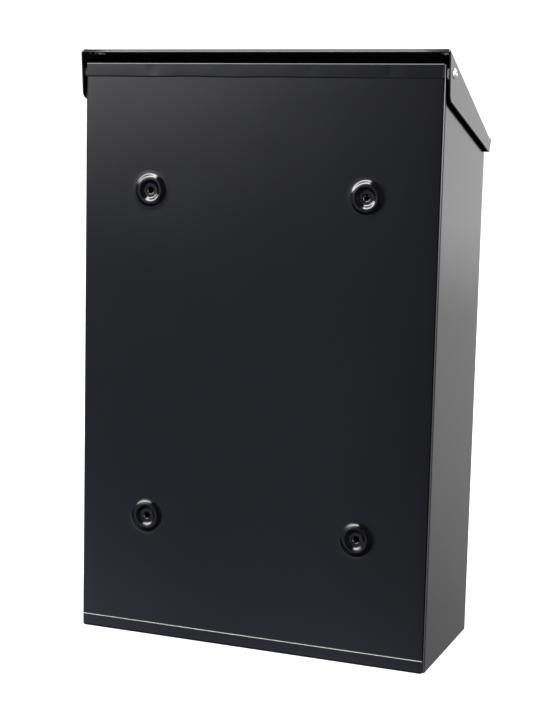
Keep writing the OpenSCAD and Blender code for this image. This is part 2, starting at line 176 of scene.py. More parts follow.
def round_edges(piece, width, segments=2, angle=35):
    """Rounds the sharp edges and evens the shading over the flats."""
    bevel = piece.modifiers.new("rounding", "BEVEL")
    bevel.width = width
    bevel.segments = segments
    bevel.limit_method = "ANGLE"
    bevel.angle_limit = math.radians(angle)
    bevel.use_clamp_overlap = True
    bevel.harden_normals = False
    normals = piece.modifiers.new("shading", "WEIGHTED_NORMAL")
    normals.mode = "FACE_AREA"
    normals.weight = 60


def sheet_piece(node, bm):
    """A piece of folded sheet, from its mid-surface."""
    piece = new_piece(node + "_sheet", bm)
    solid = piece.modifiers.new("sheet", "SOLIDIFY")
    solid.thickness = SHEET
    solid.offset = 0
    solid.use_even_offset = True
    apply_modifiers(piece)
    return piece


def punch(piece, cutter):
    """Cuts one piece with another, which is deleted."""
    cut = piece.modifiers.new("hole", "BOOLEAN")
    cut.operation = "DIFFERENCE"
    cut.solver = "EXACT"
    cut.object = cutter
    apply_modifiers(piece)
    bpy.data.objects.remove(cutter)
    for face in piece.data.polygons:
        face.use_smooth = True


def quads(bm, first, second, closed=False):
    """Faces between two rows of vertices."""
    count = len(first)
    for k in range(count if closed else count - 1):
        n = (k + 1) % count
        bm.faces.new((first[k], first[n], second[n], second[k]))


def grid_with_rings(bm, columns, rows, place, rings=()):
    """Grid of quads with raised rings.

    Each ring is (column, row, half width of the grid that it replaces, loops of (radius, height)).
    """
    blocked = {}
    for ring in rings:
        centre_u, centre_v, half, _ = ring
        inside_u = [i for i, u in enumerate(columns) if abs(u - centre_u) <= half + 1e-6]
        inside_v = [j for j, v in enumerate(rows) if abs(v - centre_v) <= half + 1e-6]
        blocked[ring[:2]] = (inside_u[0], inside_u[-1], inside_v[0], inside_v[-1])
    hidden = {(i, j) for a, b, c, d in blocked.values() for i in range(a + 1, b) for j in range(c + 1, d)}
    verts = {(i, j): bm.verts.new(place(u, v, 0)) for i, u in enumerate(columns)
             for j, v in enumerate(rows) if (i, j) not in hidden}
    for i in range(len(columns) - 1):
        for j in range(len(rows) - 1):
            if any(a <= i < b and c <= j < d for a, b, c, d in blocked.values()):
                continue
            bm.faces.new((verts[i, j], verts[i + 1, j], verts[i + 1, j + 1], verts[i, j + 1]))
    for ring in rings:
        centre_u, centre_v, half, loops = ring
        a, b, c, d = blocked[ring[:2]]
        border = ([(i, c) for i in range(a, b)] + [(b, j) for j in range(c, d)]
                  + [(i, d) for i in range(b, a, -1)] + [(a, j) for j in range(d, c, -1)])
        flat = [(columns[i] - centre_u, rows[j] - centre_v) for i, j in border]
        previous = [verts[key] for key in border]
        outer = loops[0][0]
        for share in (0.35, 0.7):
            row = []
            for u, v in flat:
                reach = math.hypot(u, v)
                r = reach + (outer - reach) * share
                row.append(bm.verts.new(place(centre_u + u / reach * r, centre_v + v / reach * r, 0)))
            quads(bm, previous, row, closed=True)
            previous = row
        for radius, height in loops:
            row = []
            for u, v in flat:
                reach = math.hypot(u, v)
                row.append(bm.verts.new(
                    place(centre_u + u / reach * radius, centre_v + v / reach * radius, height)))
            quads(bm, previous, row, closed=True)
            previous = row
    return verts


def tray(bm, a_stops, b_stops, flanges, place):
    """Flat sheet with folded edges. Flanges are (side, path, low end, high end, widening)."""
    verts = grid_with_rings(bm, a_stops, b_stops, place)
    last_a, last_b = len(a_stops) - 1, len(b_stops) - 1
    ends = {}
    for side, path, low, high, flare in flanges:
        along_b = side in ("a0", "a1")
        stops = b_stops if along_b else a_stops
        chosen = [k for k, s in enumerate(stops) if low - 1e-6 <= s <= high + 1e-6]
        fixed = {"a0": 0, "a1": last_a, "b0": 0, "b1": last_b}[side]
        edge = a_stops[fixed] if along_b else b_stops[fixed]
        sign = -1 if side.endswith("0") else 1
        previous = [verts[(fixed, k) if along_b else (k, fixed)] for k in chosen]
        middle, half_span = (low + high) / 2, (high - low) / 2
        for out, up in path:
            widen = flare * smooth(up / FLARE_RISE) / half_span
            row = []
            for k in chosen:
                s = stops[k] + (stops[k] - middle) * widen
                a, b = (edge + sign * out, s) if along_b else (s, edge + sign * out)
                row.append(bm.verts.new(place(a, b, up)))
            quads(bm, previous, row)
            previous = row
        ends[side] = previous
    return ends


def lathe(name, profile, steps=56):
    """Solid of revolution about Z from (radius, height) points. Closed when no end lies on the axis."""
    bm = bmesh.new()
    loops = []
    for radius, height in profile:
        if radius < 1e-7:
            loops.append([bm.verts.new((0, 0, height))])
            continue
        turns = [2 * math.pi * k / steps for k in range(steps)]
        loops.append([bm.verts.new((radius * math.cos(t), radius * math.sin(t), height)) for t in turns])
    on_axis = len(loops[0]) == 1 or len(loops[-1]) == 1
    pairs = list(zip(loops, loops[1:])) + ([] if on_axis else [(loops[-1], loops[0])])
    for first, second in pairs:
        if len(first) == 1 or len(second) == 1:
            tip, ring = (first[0], second) if len(first) == 1 else (second[0], first)
            for k in range(steps):
                bm.faces.new((tip, ring[k], ring[(k + 1) % steps]))
        else:
            quads(bm, first, second, closed=True)
    return new_piece(name, bm)


def put(piece, matrix):
    """Moves a piece's mesh, and leaves its object at the origin."""
    piece.data.transform(matrix)
    if matrix.to_3x3().determinant() < 0:
        piece.data.flip_normals()
    return piece


def facing(origin, direction):
    """Matrix that turns +Z to a direction and moves to an origin."""
    return Matrix.Translation(origin) @ Vector(direction).to_track_quat("Z", "Y").to_matrix().to_4x4()


def finish_piece(piece, finish, body, node, rounding=None):
    """Material, rounding and the piece's place in the frame. A finish is (material, slot)."""
    material, slot = finish
    piece.data.materials.clear()
    piece.data.materials.append(material)
    if rounding:
        round_edges(piece, rounding)
    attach(piece, body)
    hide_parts(node)


# ---- Materials -------------------------------------------------------------

def node_adder(tree):
    """A helper that adds a node to a tree, with its links and settings."""
    def add(kind, links=(), **settings):
        node = tree.nodes.new(kind)
        for key, value in settings.items():
            if key in node.inputs:
                node.inputs[key].default_value = value
            else:
                setattr(node, key, value)
        for source, target in links:
            tree.links.new(source, node.inputs[target])
        return node
    return add


def node_material(name):
    """A node material, with its shader, a helper that adds nodes and its object coordinates."""
    material = bpy.data.materials.new(name)
    material.use_nodes = True
    add = node_adder(material.node_tree)
    shader = material.node_tree.nodes["Principled BSDF"]
    return material, shader, add, add("ShaderNodeTexCoord").outputs["Object"]


def feed(shader, name, source):
    """Links a source to one of the shader's inputs."""
    shader.id_data.links.new(source, shader.inputs[name])


def map_range(add, source, start, end, low, high, **settings):
    """Maps a value from one range to another."""
    limits = {"From Min": start, "From Max": end, "To Min": low, "To Max": high}
    return add("ShaderNodeMapRange", [(source, "Value")], **limits, **settings).outputs["Result"]


def ramp(node, stops):
    """Sets a colour ramp's stops from (position, grey or colour) pairs."""
    elements = node.color_ramp.elements
    while len(elements) < len(stops):
        elements.new(0.5)
    for element, (position, value) in zip(elements, stops):
        colour = (value,) * 3 if isinstance(value, (int, float)) else value
        element.position = position
        element.color = (*colour, 1)


def powder_coat():
    """Black semi-gloss powder coat: fine orange peel, faint mottling and dust."""
    material, shader, add, place = node_material("powder_coat")
    peel = add("ShaderNodeTexNoise", [(place, "Vector")], Scale=620.0, Detail=3.0, Roughness=0.55)
    grain = add("ShaderNodeTexNoise", [(place, "Vector")], Scale=2600.0, Detail=2.0, Roughness=0.6)
    cloud = add("ShaderNodeTexNoise", [(place, "Vector")], Scale=14.0, Detail=5.0, Roughness=0.6)
    speck = add("ShaderNodeTexVoronoi", [(place, "Vector")], Scale=90.0, Randomness=1.0)

    tone = add("ShaderNodeValToRGB", [(cloud.outputs["Fac"], "Fac")])
    ramp(tone, [(0.3, (0.0008, 0.0008, 0.0012)), (0.7, (0.0011, 0.0011, 0.0016))])
    dust_mask = add("ShaderNodeValToRGB", [(speck.outputs["Distance"], "Fac")])
    ramp(dust_mask, [(0.03, 1.0), (0.05, 0.0)])
    dusty = add("ShaderNodeMix", [(dust_mask.outputs["Color"], "Factor"), (tone.outputs["Color"], 6)],
                data_type="RGBA", blend_type="MIX")
    dusty.inputs[7].default_value = (0.006, 0.006, 0.007, 1)
    feed(shader, "Base Color", dusty.outputs[2])
    feed(shader, "Roughness", map_range(add, cloud.outputs["Fac"], 0.3, 0.7, 0.125, 0.145))

    coarse = add("ShaderNodeBump", [(peel.outputs["Fac"], "Height")], Strength=0.12, Distance=0.00005)
    fine = add("ShaderNodeBump", [(grain.outputs["Fac"], "Height"), (coarse.outputs["Normal"], "Normal")],
               Strength=0.14, Distance=0.00002)
    feed(shader, "Normal", fine.outputs["Normal"])
    return material, "black_paint"


def metal(name, colour, roughness, scratch_scale=420.0, tarnish=None):
    """Bare or plated metal with fine scratches, uneven gloss and a duller tone in random patches."""
    material, shader, add, place = node_material(name)
    shader.inputs["Metallic"].default_value = 1.0
    stretch = add("ShaderNodeMapping", [(place, "Vector")], Scale=(1.0, 1.0, 7.0))
    scratch = add("ShaderNodeTexNoise", [(stretch.outputs["Vector"], "Vector")],
                  Scale=scratch_scale, Detail=6.0, Roughness=0.7)
    patch = add("ShaderNodeTexNoise", [(place, "Vector")], Scale=260.0, Detail=4.0, Roughness=0.6)
    dull = tarnish or tuple(0.72 * c for c in colour)
    tone = add("ShaderNodeValToRGB", [(patch.outputs["Fac"], "Fac")])
    ramp(tone, [(0.32, dull), (0.62, colour)])
    feed(shader, "Base Color", tone.outputs["Color"])
    smoothest, roughest = max(0.05, roughness - 0.08), roughness + 0.12
    feed(shader, "Roughness", map_range(add, scratch.outputs["Fac"], 0.3, 0.7, smoothest, roughest))
    bump = add("ShaderNodeBump", [(scratch.outputs["Fac"], "Height")], Strength=0.12, Distance=0.00003)
    feed(shader, "Normal", bump.outputs["Normal"])
    return material, name


def soft_plastic(name, dark, light, roughness, glow=0.0):
    """Rubber or nylon: faint mould grain and slightly uneven tone. A glow above 0 makes it emit its own
    colour evenly: painted light that brightens it in shade.
    """
    material, shader, add, place = node_material(name)
    cloud = add("ShaderNodeTexNoise", [(place, "Vector")], Scale=300.0, Detail=5.0, Roughness=0.65)
    grain = add("ShaderNodeTexNoise", [(place, "Vector")], Scale=3200.0, Detail=2.0)
    tone = add("ShaderNodeValToRGB", [(cloud.outputs["Fac"], "Fac")])
    ramp(tone, [(0.3, dark), (0.7, light)])
    feed(shader, "Base Color", tone.outputs["Color"])
    feed(shader, "Emission Color", tone.outputs["Color"])
    # the glow is painted light: an even emission of the plastic's own colour
    shader.inputs["Emission Strength"].default_value = glow
    shader.inputs["Roughness"].default_value = roughness
    bump = add("ShaderNodeBump", [(grain.outputs["Fac"], "Height")], Strength=0.25, Distance=0.00003)
    feed(shader, "Normal", bump.outputs["Normal"])
    return material, name


PAINT = powder_coat()
# lighter grey for the rear flange's top edge: paint worn thin there, and a painted highlight standing in for
# the edge's glint
BARE_EDGE_AND_HIGHLIGHT = soft_plastic("bare_edge_and_painted_highlight", (0.22, 0.22, 0.21), (0.34, 0.33, 0.32), 0.45)
ALUMINIUM = metal("rivet_aluminium", (0.80, 0.80, 0.80), 0.30)
ZINC = metal("zinc_steel", (0.66, 0.68, 0.70), 0.34, tarnish=(0.46, 0.47, 0.46))
CHROME = metal("lock_chrome", (0.86, 0.87, 0.88), 0.12, scratch_scale=900.0, tarnish=(0.78, 0.78, 0.79))
NICKEL = metal("plug_nickel", (0.78, 0.75, 0.69), 0.22, scratch_scale=1200.0)
RUBBER = soft_plastic("black_rubber", (0.010, 0.010, 0.010), (0.020, 0.020, 0.020), 0.75)
# the nylon's glow paints light onto the spacers in the shaded slot between cheek and wall, and onto the door
# bushes
NYLON = soft_plastic("white_nylon", (0.90, 0.86, 0.75), (0.96, 0.93, 0.84), 0.42, glow=0.25)


# ---- Body shell ------------------------------------------------------------

RING_BLOCK = 14.5 * MM        # half width of the square of grid that a ring replaces
RING_SPLIT = 16
RING_FOOT = RING_R + 0.1 * MM
RING_RUNOUT = 0.9 * MM        # flat sheet between the grid and the ring's foot
RING_RISE = RING_H - 0.05 * MM
RING_STEPS = 14
CREST_OUT = 8.45 * MM
CREST_IN = 7.95 * MM
DISH_R = 4.9 * MM             # flat floor inside the ring
HOLE_LIP = 0.9 * MM           # the hole's edge is drawn in over this width
OUTER_CRISPNESS = 0.05
INNER_CRISPNESS = 0.6
HEM_H = 9.5 * MM
HEM_LEAN = 0.2 * MM           # the hem's leaf leans in towards its foot
HEM_MARK_PITCH = 58 * MM      # faint press marks along the hem
HEM_MARK_SHIFT = -7.5 * MM
HEM_MARK_W = 3.2 * MM
HEM_MARK_DEPTH = 0.16 * MM
BULGE = 0.22 * MM             # waviness of the back panel
DENT_DEPTH = 0.10 * MM        # hollow that pressing leaves around a ring
DENT_REACH = 14 * MM
UPPER_Z = TOP_Z - 62 * MM     # above this the side walls' rows squeeze towards their sloped top


def pressed_curve(t, crispness):
    """Height share of a pressed slope: an S curve, straightened towards a ramp by its crispness."""
    return smooth(t) * (1 - crispness) + t * crispness


def ring_loops():
    """(radius, height) loops of the ring pressed around a wall hole."""
    loops = [(RING_FOOT + RING_RUNOUT, 0)]
    for k in range(RING_STEPS + 1):
        t = k / RING_STEPS
        height = RING_RISE * pressed_curve(t, OUTER_CRISPNESS)
        loops.append((RING_FOOT + (CREST_OUT - RING_FOOT) * t, height))
    for k in range(1, 4):
        loops.append((CREST_OUT + (CREST_IN - CREST_OUT) * k / 4, RING_RISE))
    for k in range(RING_STEPS + 1):
        t = k / RING_STEPS
        height = RING_RISE * pressed_curve(1 - t, INNER_CRISPNESS)
        loops.append((CREST_IN + (DISH_R - CREST_IN) * t, height))
    for k in range(5):
        turn = math.pi / 2 * k / 4
        loops.append((HOLE_R + HOLE_LIP * (1 - math.sin(turn)), -0.45 * HOLE_LIP * (1 - math.cos(turn))))
    return loops


def panel_fade(u, v, half_u, low, high, reach=30 * MM):
    """1 inside a panel, falling to 0 at its edges."""
    return smooth((half_u - abs(u)) / (30 * MM)) * smooth((v - low) / reach) * smooth((high - v) / reach)


def sheet_wave(u, v, seed):
    """Faint waviness of a large sheet, from -1 to 1."""
    return noise.noise(Vector((u * 9, v * 7, seed))) + 0.4 * noise.noise(Vector((u * 24, v * 19, seed + 5)))


def back_bulge(x, z):
    """How far the back panel stands off its flat, outwards."""
    edge = panel_fade(x, z, WALL_X - 6 * MM, FLOOR_Z + 14 * MM, TOP_Z - 14 * MM)
    dent = 0
    for side_x in (-HOLE_X, HOLE_X):
        for side_z in (-HOLE_Z, HOLE_Z):
            reach = math.hypot(x - side_x, z - side_z)
            dent += math.exp(-((reach - RING_R) / DENT_REACH) ** 2) * smooth((reach - RING_R) / (2 * MM))
    return edge * (BULGE * sheet_wave(x, z, 3) - DENT_DEPTH * dent)


def shell_side():
    """(x, y) of one side's mid-surface, from the free edge of its front return to the back panel."""
    x, y = WALL_X - HALF, FRONT_Y + HALF
    in_x, front, rear = x - MID_R, y + MID_R, -HALF - MID_R
    kink = (lid_top(0) - SHEET / math.cos(LID_SLOPE) - SIDE_CLEAR - TOP_Z + SIDE_DROP) / math.tan(LID_SLOPE)
    front_return = [Vector((v, y)) for v in spread(WALL_X - RETURN_W, in_x, 5 * MM)]
    wall = [Vector((x, v)) for v in spread(front, rear, 6 * MM, [(-kink - 5 * MM, -kink, 1)])]
    front_bend = arc((in_x, front), MID_R, -90, 0, BEND_STEPS)
    rear_bend = arc((in_x, rear), MID_R, 0, 90, BEND_STEPS)
    return front_return + front_bend[1:-1] + wall + rear_bend[1:]


def body_shell():
    """Back, sides and front returns, with the rings pressed in the back and a hem over its top."""
    hem_z = TOP_Z - HEM_R - HALF
    in_x = WALL_X - HALF - MID_R
    blocks = [(c - RING_BLOCK, c + RING_BLOCK, RING_SPLIT) for c in (-HOLE_Z, HOLE_Z)]
    rows = spread(FLOOR_Z + SHEET, hem_z, 7 * MM, blocks)
    bm = bmesh.new()
    for mirror in (1, -1):
        outline = [Vector((mirror * point.x, point.y)) for point in shell_side()]

        def place_side(index, z, height):
            point = outline[index]
            if z > UPPER_Z:
                top = min(side_top(point.y), hem_z)
                z = UPPER_Z + (z - UPPER_Z) * (top - UPPER_Z) / (hem_z - UPPER_Z)
            return Vector((point.x, point.y, z))

        grid_with_rings(bm, range(len(outline)), rows, place_side)

    def place_back(x, z, height):
        return Vector((x, -HALF + height + back_bulge(x, z), z))

    blocks = [(c - RING_BLOCK, c + RING_BLOCK, RING_SPLIT) for c in (-HOLE_X, HOLE_X)]
    stops = spread(-in_x, in_x, 6 * MM, blocks)
    rings = [(x, z, RING_BLOCK, ring_loops()) for x in (HOLE_X, -HOLE_X) for z in (-HOLE_Z, HOLE_Z)]
    verts = grid_with_rings(bm, stops, rows, place_back, rings)
    add_hem(bm, stops, [verts[i, len(rows) - 1] for i in range(len(stops))], hem_z)
    finish_piece(sheet_piece("body_shell", bm), PAINT, "root", "body_shell", EDGE)


def add_hem(bm, xs, edge, hem_z):
    """Folds the back panel's top edge outwards and down, not quite evenly."""
    curl_r = 1 * MM
    run = HEM_H - HEM_R - HALF - 0.8 * MM
    path = fold_path((110, 0.42 * MM, 0), (70, 0.85 * MM, run), (45, curl_r, 0), step=10)
    previous = edge
    stretch = (WALL_X - FLANGE_INSET) / max(xs)
    for out, up in path:
        low = smooth((-out - 2 * MM) / (6 * MM))
        middle = math.exp(-((out + 4.5 * MM) / (2.2 * MM)) ** 2)
        row = []
        for x in xs:
            gap = 0.10 * MM * noise.noise(Vector((x * 45, 0, 2))) * low - HEM_LEAN * smooth(-out / HEM_H)
            droop = 0.30 * MM * noise.noise(Vector((x * 30, 0, 9))) * low
            for k in range(-2, 2):
                mark = HEM_MARK_SHIFT + (k + 0.5) * HEM_MARK_PITCH
                gap -= HEM_MARK_DEPTH * math.exp(-((x - mark) / HEM_MARK_W) ** 2) * middle
            row.append(bm.verts.new((x * stretch, -HALF + up + gap, hem_z + out + droop)))
        quads(bm, previous, row)
        previous = row


# ---- Bottom pan, rail and strike -------------------------------------------

PAN_FLANGE_H = 9.5 * MM
SILL_H = 10 * MM
SILL_D = 15.3 * MM
BARE_AND_HIGHLIGHT_H = 0.3 * MM             # strip along the rear flange's edge in a lighter material: paint worn thin, and a painted highlight for the edge's glint


def bottom_pan():
    """Floor with side flanges, the flange outside the back and the sill under the door."""
    half_x = pan_high.x - HALF - MID_R
    rear = pan_high.y - HALF - MID_R
    front = FRONT_Y + HALF + MID_R
    sill_half = WALL_X - RETURN_W - 0.3 * MM
    flange_half = WALL_X - FLANGE_INSET
    up_run = PAN_FLANGE_H - HALF - MID_R
    sill_up = SILL_H - SHEET - 2 * MID_R
    sill_run = SILL_D - SHEET - 2 * MID_R + HALF
    side_flange = fold_path((90, MID_R, up_run))
    low_end, high_end = front + 2 * MM, rear - 3 * MM
    a_stops = spread(-half_x, half_x, 8 * MM, [(-sill_half, sill_half, 32)])
    b_stops = spread(front, rear, 7 * MM, [(front, low_end, 1), (high_end, rear, 1)])
    flanges = [
        ("a0", side_flange, low_end, high_end, 0),
        ("a1", side_flange, low_end, high_end, 0),
        ("b1", fold_path((90, MID_R, up_run - BARE_AND_HIGHLIGHT_H), (0, 0, BARE_AND_HIGHLIGHT_H)), -half_x, half_x,
         flange_half - half_x),
        ("b0", fold_path((90, MID_R, sill_up), (90, MID_R, sill_run)), -sill_half, sill_half, 0),
    ]
    bm = bmesh.new()
    tray(bm, a_stops, b_stops, flanges, lambda a, b, up: Vector((a, b, FLOOR_Z + HALF + up)))
    piece = sheet_piece("bottom_pan", bm)
    finish_piece(piece, PAINT, "root", "bottom_pan")
    # the strip along the rear flange's top edge takes the lighter material: worn paint, and a painted
    # highlight for the glint of the rounded edge
    piece.data.materials.append(BARE_EDGE_AND_HIGHLIGHT[0])
    bare_and_highlight_z = FLOOR_Z + PAN_FLANGE_H - 0.8 * BARE_AND_HIGHLIGHT_H
    for face in piece.data.polygons:
        if face.center.y > 0 and face.center.z > bare_and_highlight_z:
            face.material_index = 1
    round_edges(piece, EDGE)


def front_rail():
    """Rail under the letter slot: hemmed top, lower flange and the door stop folded from it."""
    y = rail_low.y + HALF
    top = rail_high.z - HEM_R - HALF
    flange_z = rail_low.z + 6 * MM + HALF
    depth = rail_high.y - HALF - y
    half_x = rail_high.x
    stop_start = -half_x + 32 * MM
    a_stops = spread(-half_x, half_x, 8 * MM, [(stop_start, stop_start + 8 * MM, 1)])
    b_stops = spread(flange_z + MID_R, top, 7 * MM)
    run = depth - 2 * MID_R
    flanges = [
        ("b1", fold_path((180, HEM_R, 7 * MM)), -half_x, half_x, 0),
        ("b0", fold_path((90, MID_R, run)), -half_x, half_x, 0),
    ]
    bm = bmesh.new()

    def place(a, b, up):
        return Vector((a, y + up, b))

    ends = tray(bm, a_stops, b_stops, flanges, place)
    row = [v for v in ends["b0"] if v.co.x >= stop_start - 1e-6]
    edge_y, edge_z = row[0].co.y, row[0].co.z
    for out, up in fold_path((90, MID_R, 6 * MM - MID_R)):
        new_row = [bm.verts.new((v.co.x, edge_y + out, edge_z - up)) for v in row]
        quads(bm, row, new_row)
        row = new_row
    finish_piece(sheet_piece("front_rail", bm), PAINT, "root", "front_rail", EDGE)


def strike_bracket():
    """Angle welded behind the return, which the cam turns behind."""
    low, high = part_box("strike_bracket")
    y = low.y + HALF
    x = low.x + HALF
    b_stops = spread(low.z, high.z, 8 * MM)
    a_stops = spread(x + MID_R, high.x, 3 * MM)
    bm = bmesh.new()
    tray(bm, a_stops, b_stops, [("a0", fold_path((90, MID_R, high.y - y - MID_R)), low.z, high.z, 0)],
         lambda a, b, up: Vector((a, y + up, b)))
    finish_piece(sheet_piece("strike_bracket", bm), PAINT, "root", "strike_bracket", EDGE)


# ---- Lid -------------------------------------------------------------------

def lid_place(x, along, down):
    """Point of the lid: x, distance up the slope from the back panel's plane, depth below the outer face."""
    cos, sin = math.cos(LID_SLOPE), math.sin(LID_SLOPE)
    return Vector((x, along * cos + down * sin, lid_top(0) + along * sin - down * cos))


def cheek_corner_points():
    """Front end of the cheek's lower edge, and its rounded rear corner from there up, in Y and Z."""
    front_y = FRONT_Y - LID_FRONT
    front = Vector((front_y, lid_top(front_y)))
    lip_end = front + LIP_H * Vector((math.sin(LID_SLOPE), -math.cos(LID_SLOPE)))
    rear = Vector((LID_REAR, lid_top(LID_REAR)))
    to_lip = (lip_end - CHEEK_CORNER).normalized()
    to_rear = (rear - CHEEK_CORNER).normalized()
    half_angle = to_lip.angle(to_rear) / 2
    centre = CHEEK_CORNER + (to_lip + to_rear).normalized() * CHEEK_CORNER_R / math.sin(half_angle)
    start = CHEEK_CORNER + to_lip * CHEEK_CORNER_R / math.tan(half_angle) - centre
    end = CHEEK_CORNER + to_rear * CHEEK_CORNER_R / math.tan(half_angle) - centre
    a0, a1 = (math.degrees(math.atan2(v.y, v.x)) for v in (start, end))
    if a1 < a0:
        a1 += 360
    return lip_end, arc(centre, CHEEK_CORNER_R, a0, a1, 10)


def lid():
    """Sloped lid: plate, front lip, hem under the rear edge and a cheek folded down each side."""
    cos = math.cos(LID_SLOPE)
    length = (LID_FRONT - FRONT_Y) / cos
    rear = LID_REAR / cos
    flat_x = CHEEK_X - MID_R
    b_front, b_rear = -length + HALF + MID_R, rear - HALF
    a_stops = spread(-flat_x, flat_x, 9 * MM)
    b_stops = spread(b_front, b_rear, 8 * MM)

    def place(a, b, up):
        wave = 0.16 * MM * sheet_wave(a, b, 21) * panel_fade(a, b, flat_x, b_front, b_rear, 20 * MM)
        return lid_place(a, b, HALF + up - wave)

    flanges = [
        ("b0", fold_path((90, MID_R, LIP_H - HALF - MID_R)), -flat_x, flat_x, MID_R - HALF),
        ("b1", fold_path((90, 0, 2 * HEM_R), (90, 0, LID_HEM - SHEET), step=90), -flat_x, flat_x, 0),
        ("a0", fold_path((90, MID_R, 0)), b_front, b_rear, 0),
        ("a1", fold_path((90, MID_R, 0)), b_front, b_rear, 0),
    ]
    bm = bmesh.new()
    ends = tray(bm, a_stops, b_stops, flanges, place)
    lip_end, corner = cheek_corner_points()
    outer_bend = MID_R + HALF
    ear = []
    for k in range(7):
        turn = math.radians(15 * k)
        along = -length + outer_bend - outer_bend * math.sin(turn)
        ear.append(lid_place(0, along, outer_bend - outer_bend * math.cos(turn)))
    rear_foot = lid_place(0, rear - 0.4 * MM, outer_bend)
    for side, name in ((-1, "a0"), (1, "a1")):
        x = side * CHEEK_X
        edge = ends[name]                       # from the front to the rear
        rest = [rear_foot.yz, *reversed(corner), lip_end]
        rest += [p.yz for p in reversed(ear)]
        loop = list(edge) + [bm.verts.new((x, p[0], p[1])) for p in rest]
        bm.faces.new(loop)
    piece = sheet_piece("lid", bm)
    cutter = lathe("lid_cutter", [(0, -CHEEK_X - SHEET * 2), (2 * MM + RUNNING, -CHEEK_X - SHEET * 2),
                                  (2 * MM + RUNNING, CHEEK_X + SHEET * 2), (0, CHEEK_X + SHEET * 2)], 40)
    punch(piece, put(cutter, facing(pivot, (1, 0, 0))))
    finish_piece(piece, PAINT, "lid", "lid", EDGE)


# ---- Door ------------------------------------------------------------------

def door_panel():
    """Shallow tray with a flange on each edge and a hole for the lock."""
    half_x = door_high.x - HALF - MID_R
    low, high = door_low.z + HALF + MID_R, door_high.z - HALF - MID_R
    y = door_low.y + HALF
    run = door_high.y - y - MID_R
    block = 15 * MM
    relief = 1 * MM
    a_stops = spread(-half_x, half_x, 7 * MM, [(lock.x - block, lock.x + block, 14)])
    b_stops = spread(low, high, 8 * MM, [(lock.z - block, lock.z + block, 14)])

    def place(a, b, up):
        wave = 0.20 * MM * sheet_wave(a, b, 33) * panel_fade(a, b, half_x, low, high)
        return Vector((a, y + up - wave, b))

    flanges = [(side, fold_path((90, MID_R, run)), lo, hi, -relief)
               for side, lo, hi in (("a0", low, high), ("a1", low, high),
                                    ("b0", -half_x, half_x), ("b1", -half_x, half_x))]
    bm = bmesh.new()
    tray(bm, a_stops, b_stops, flanges, place)
    piece = sheet_piece("door_panel", bm)
    bush_hole, reach = 3.06 * MM, 3 * MM
    for radius, at, axis in (
            (BARREL_R, Vector((lock.x, y, lock.z)), (0, 1, 0)),
            (bush_hole, Vector((hinge.x, hinge.y, door_low.z + HALF)), (0, 0, 1)),
            (bush_hole, Vector((hinge.x, hinge.y, door_high.z - HALF)), (0, 0, 1))):
        cutter = lathe("door_cutter", [(0, -reach), (radius, -reach), (radius, reach), (0, reach)], 48)
        punch(piece, put(cutter, facing(at, axis)))
    finish_piece(piece, PAINT, "door", "door_panel", EDGE)


# ---- Turned and cut hardware -----------------------------------------------

CHAMFER = 0.2 * MM


def axial(node, axis, sign, centre):
    """Foot and length of a node along an axis through a centre, from its low end or its high end."""
    low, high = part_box(node)
    foot = Vector(centre)
    foot[axis] = low[axis] if sign > 0 else high[axis]
    return foot, high[axis] - low[axis]


def disc_profile(outer, inner, height, chamfer=CHAMFER):
    """Section of a washer or sleeve with broken edges."""
    return [(inner + chamfer, 0), (outer - chamfer, 0), (outer, chamfer), (outer, height - chamfer),
            (outer - chamfer, height), (inner + chamfer, height), (inner, height - chamfer),
            (inner, chamfer)]


def turned(name, profile, origin, direction, finish, body, node):
    """A turned piece along a direction."""
    piece = put(lathe(name, profile), facing(origin, direction))
    finish_piece(piece, finish, body, node, 0.05 * MM)


def rivet_profile(length):
    """Section of a set blind rivet: swollen tail, shank and domed head, with a bore."""
    rise, bore, shank, tail, head = 1.7 * MM, 1.1 * MM, 2 * MM, 3 * MM, 4 * MM
    under = length - rise
    dome_r = (head ** 2 + rise ** 2) / (2 * rise)
    dome = []
    for k in range(11):
        r = head + (bore + 0.25 * MM - head) * k / 10
        dome.append((r, length - dome_r + math.sqrt(dome_r ** 2 - r ** 2)))
    return [(bore, 0.3 * MM), (bore + 0.3 * MM, 0), (tail - 0.5 * MM, 0.1 * MM), (tail, 0.7 * MM),
            (tail, 3.2 * MM), (tail - 0.4 * MM, 3.9 * MM), (shank, 4 * MM), (shank, under),
            (head - 0.15 * MM, under), (head, under + 0.1 * MM), *dome[1:], (bore, dome[-1][1] - 0.3 * MM)]


def mandrel_profile(length):
    """Section of a broken mandrel: its ball in the rivet's tail, and a torn end."""
    stem, ball = 1.05 * MM, 1.55 * MM
    return [(0, 0), (0.9 * MM, 0.05 * MM), (ball, 0.6 * MM), (ball, 1.3 * MM), (stem, 1.45 * MM),
            (stem, length - 0.5 * MM), (0.8 * MM, length - 0.35 * MM), (0.45 * MM, length),
            (0, length - 0.1 * MM)]


def washer_profile(length):
    """Section of the backing washer under a rivet's tail."""
    return disc_profile(4.6 * MM, 2 * MM, length)


def spacer_profile(length):
    """Section of the spacer between wall and cheek, rounded like a bead outside."""
    outer, inner, end, steps = 3.6 * MM, 2 * MM, 2.5 * MM, 12
    profile = [(inner, 0)]
    for k in range(steps + 1):
        profile.append((end + (outer - end) * math.sin(math.pi * k / steps), length * k / steps))
    return [*profile, (inner, length)]


def pivot_hardware(side, word):
    """Rivet, broken mandrel, backing washer and spacer of one lid pivot."""
    for part, ending, section, finish in (
            ("_rivet", "_turned", rivet_profile, ALUMINIUM),
            ("_mandrel", "_broken", mandrel_profile, ZINC),
            ("_back_washer", "_turned", washer_profile, ZINC),
            ("_spacer", "_turned", spacer_profile, NYLON)):
        node = word + part
        foot, length = axial(node, 0, side, pivot)
        turned(node + ending, section(length), foot, (side, 0, 0), finish, "root", node)


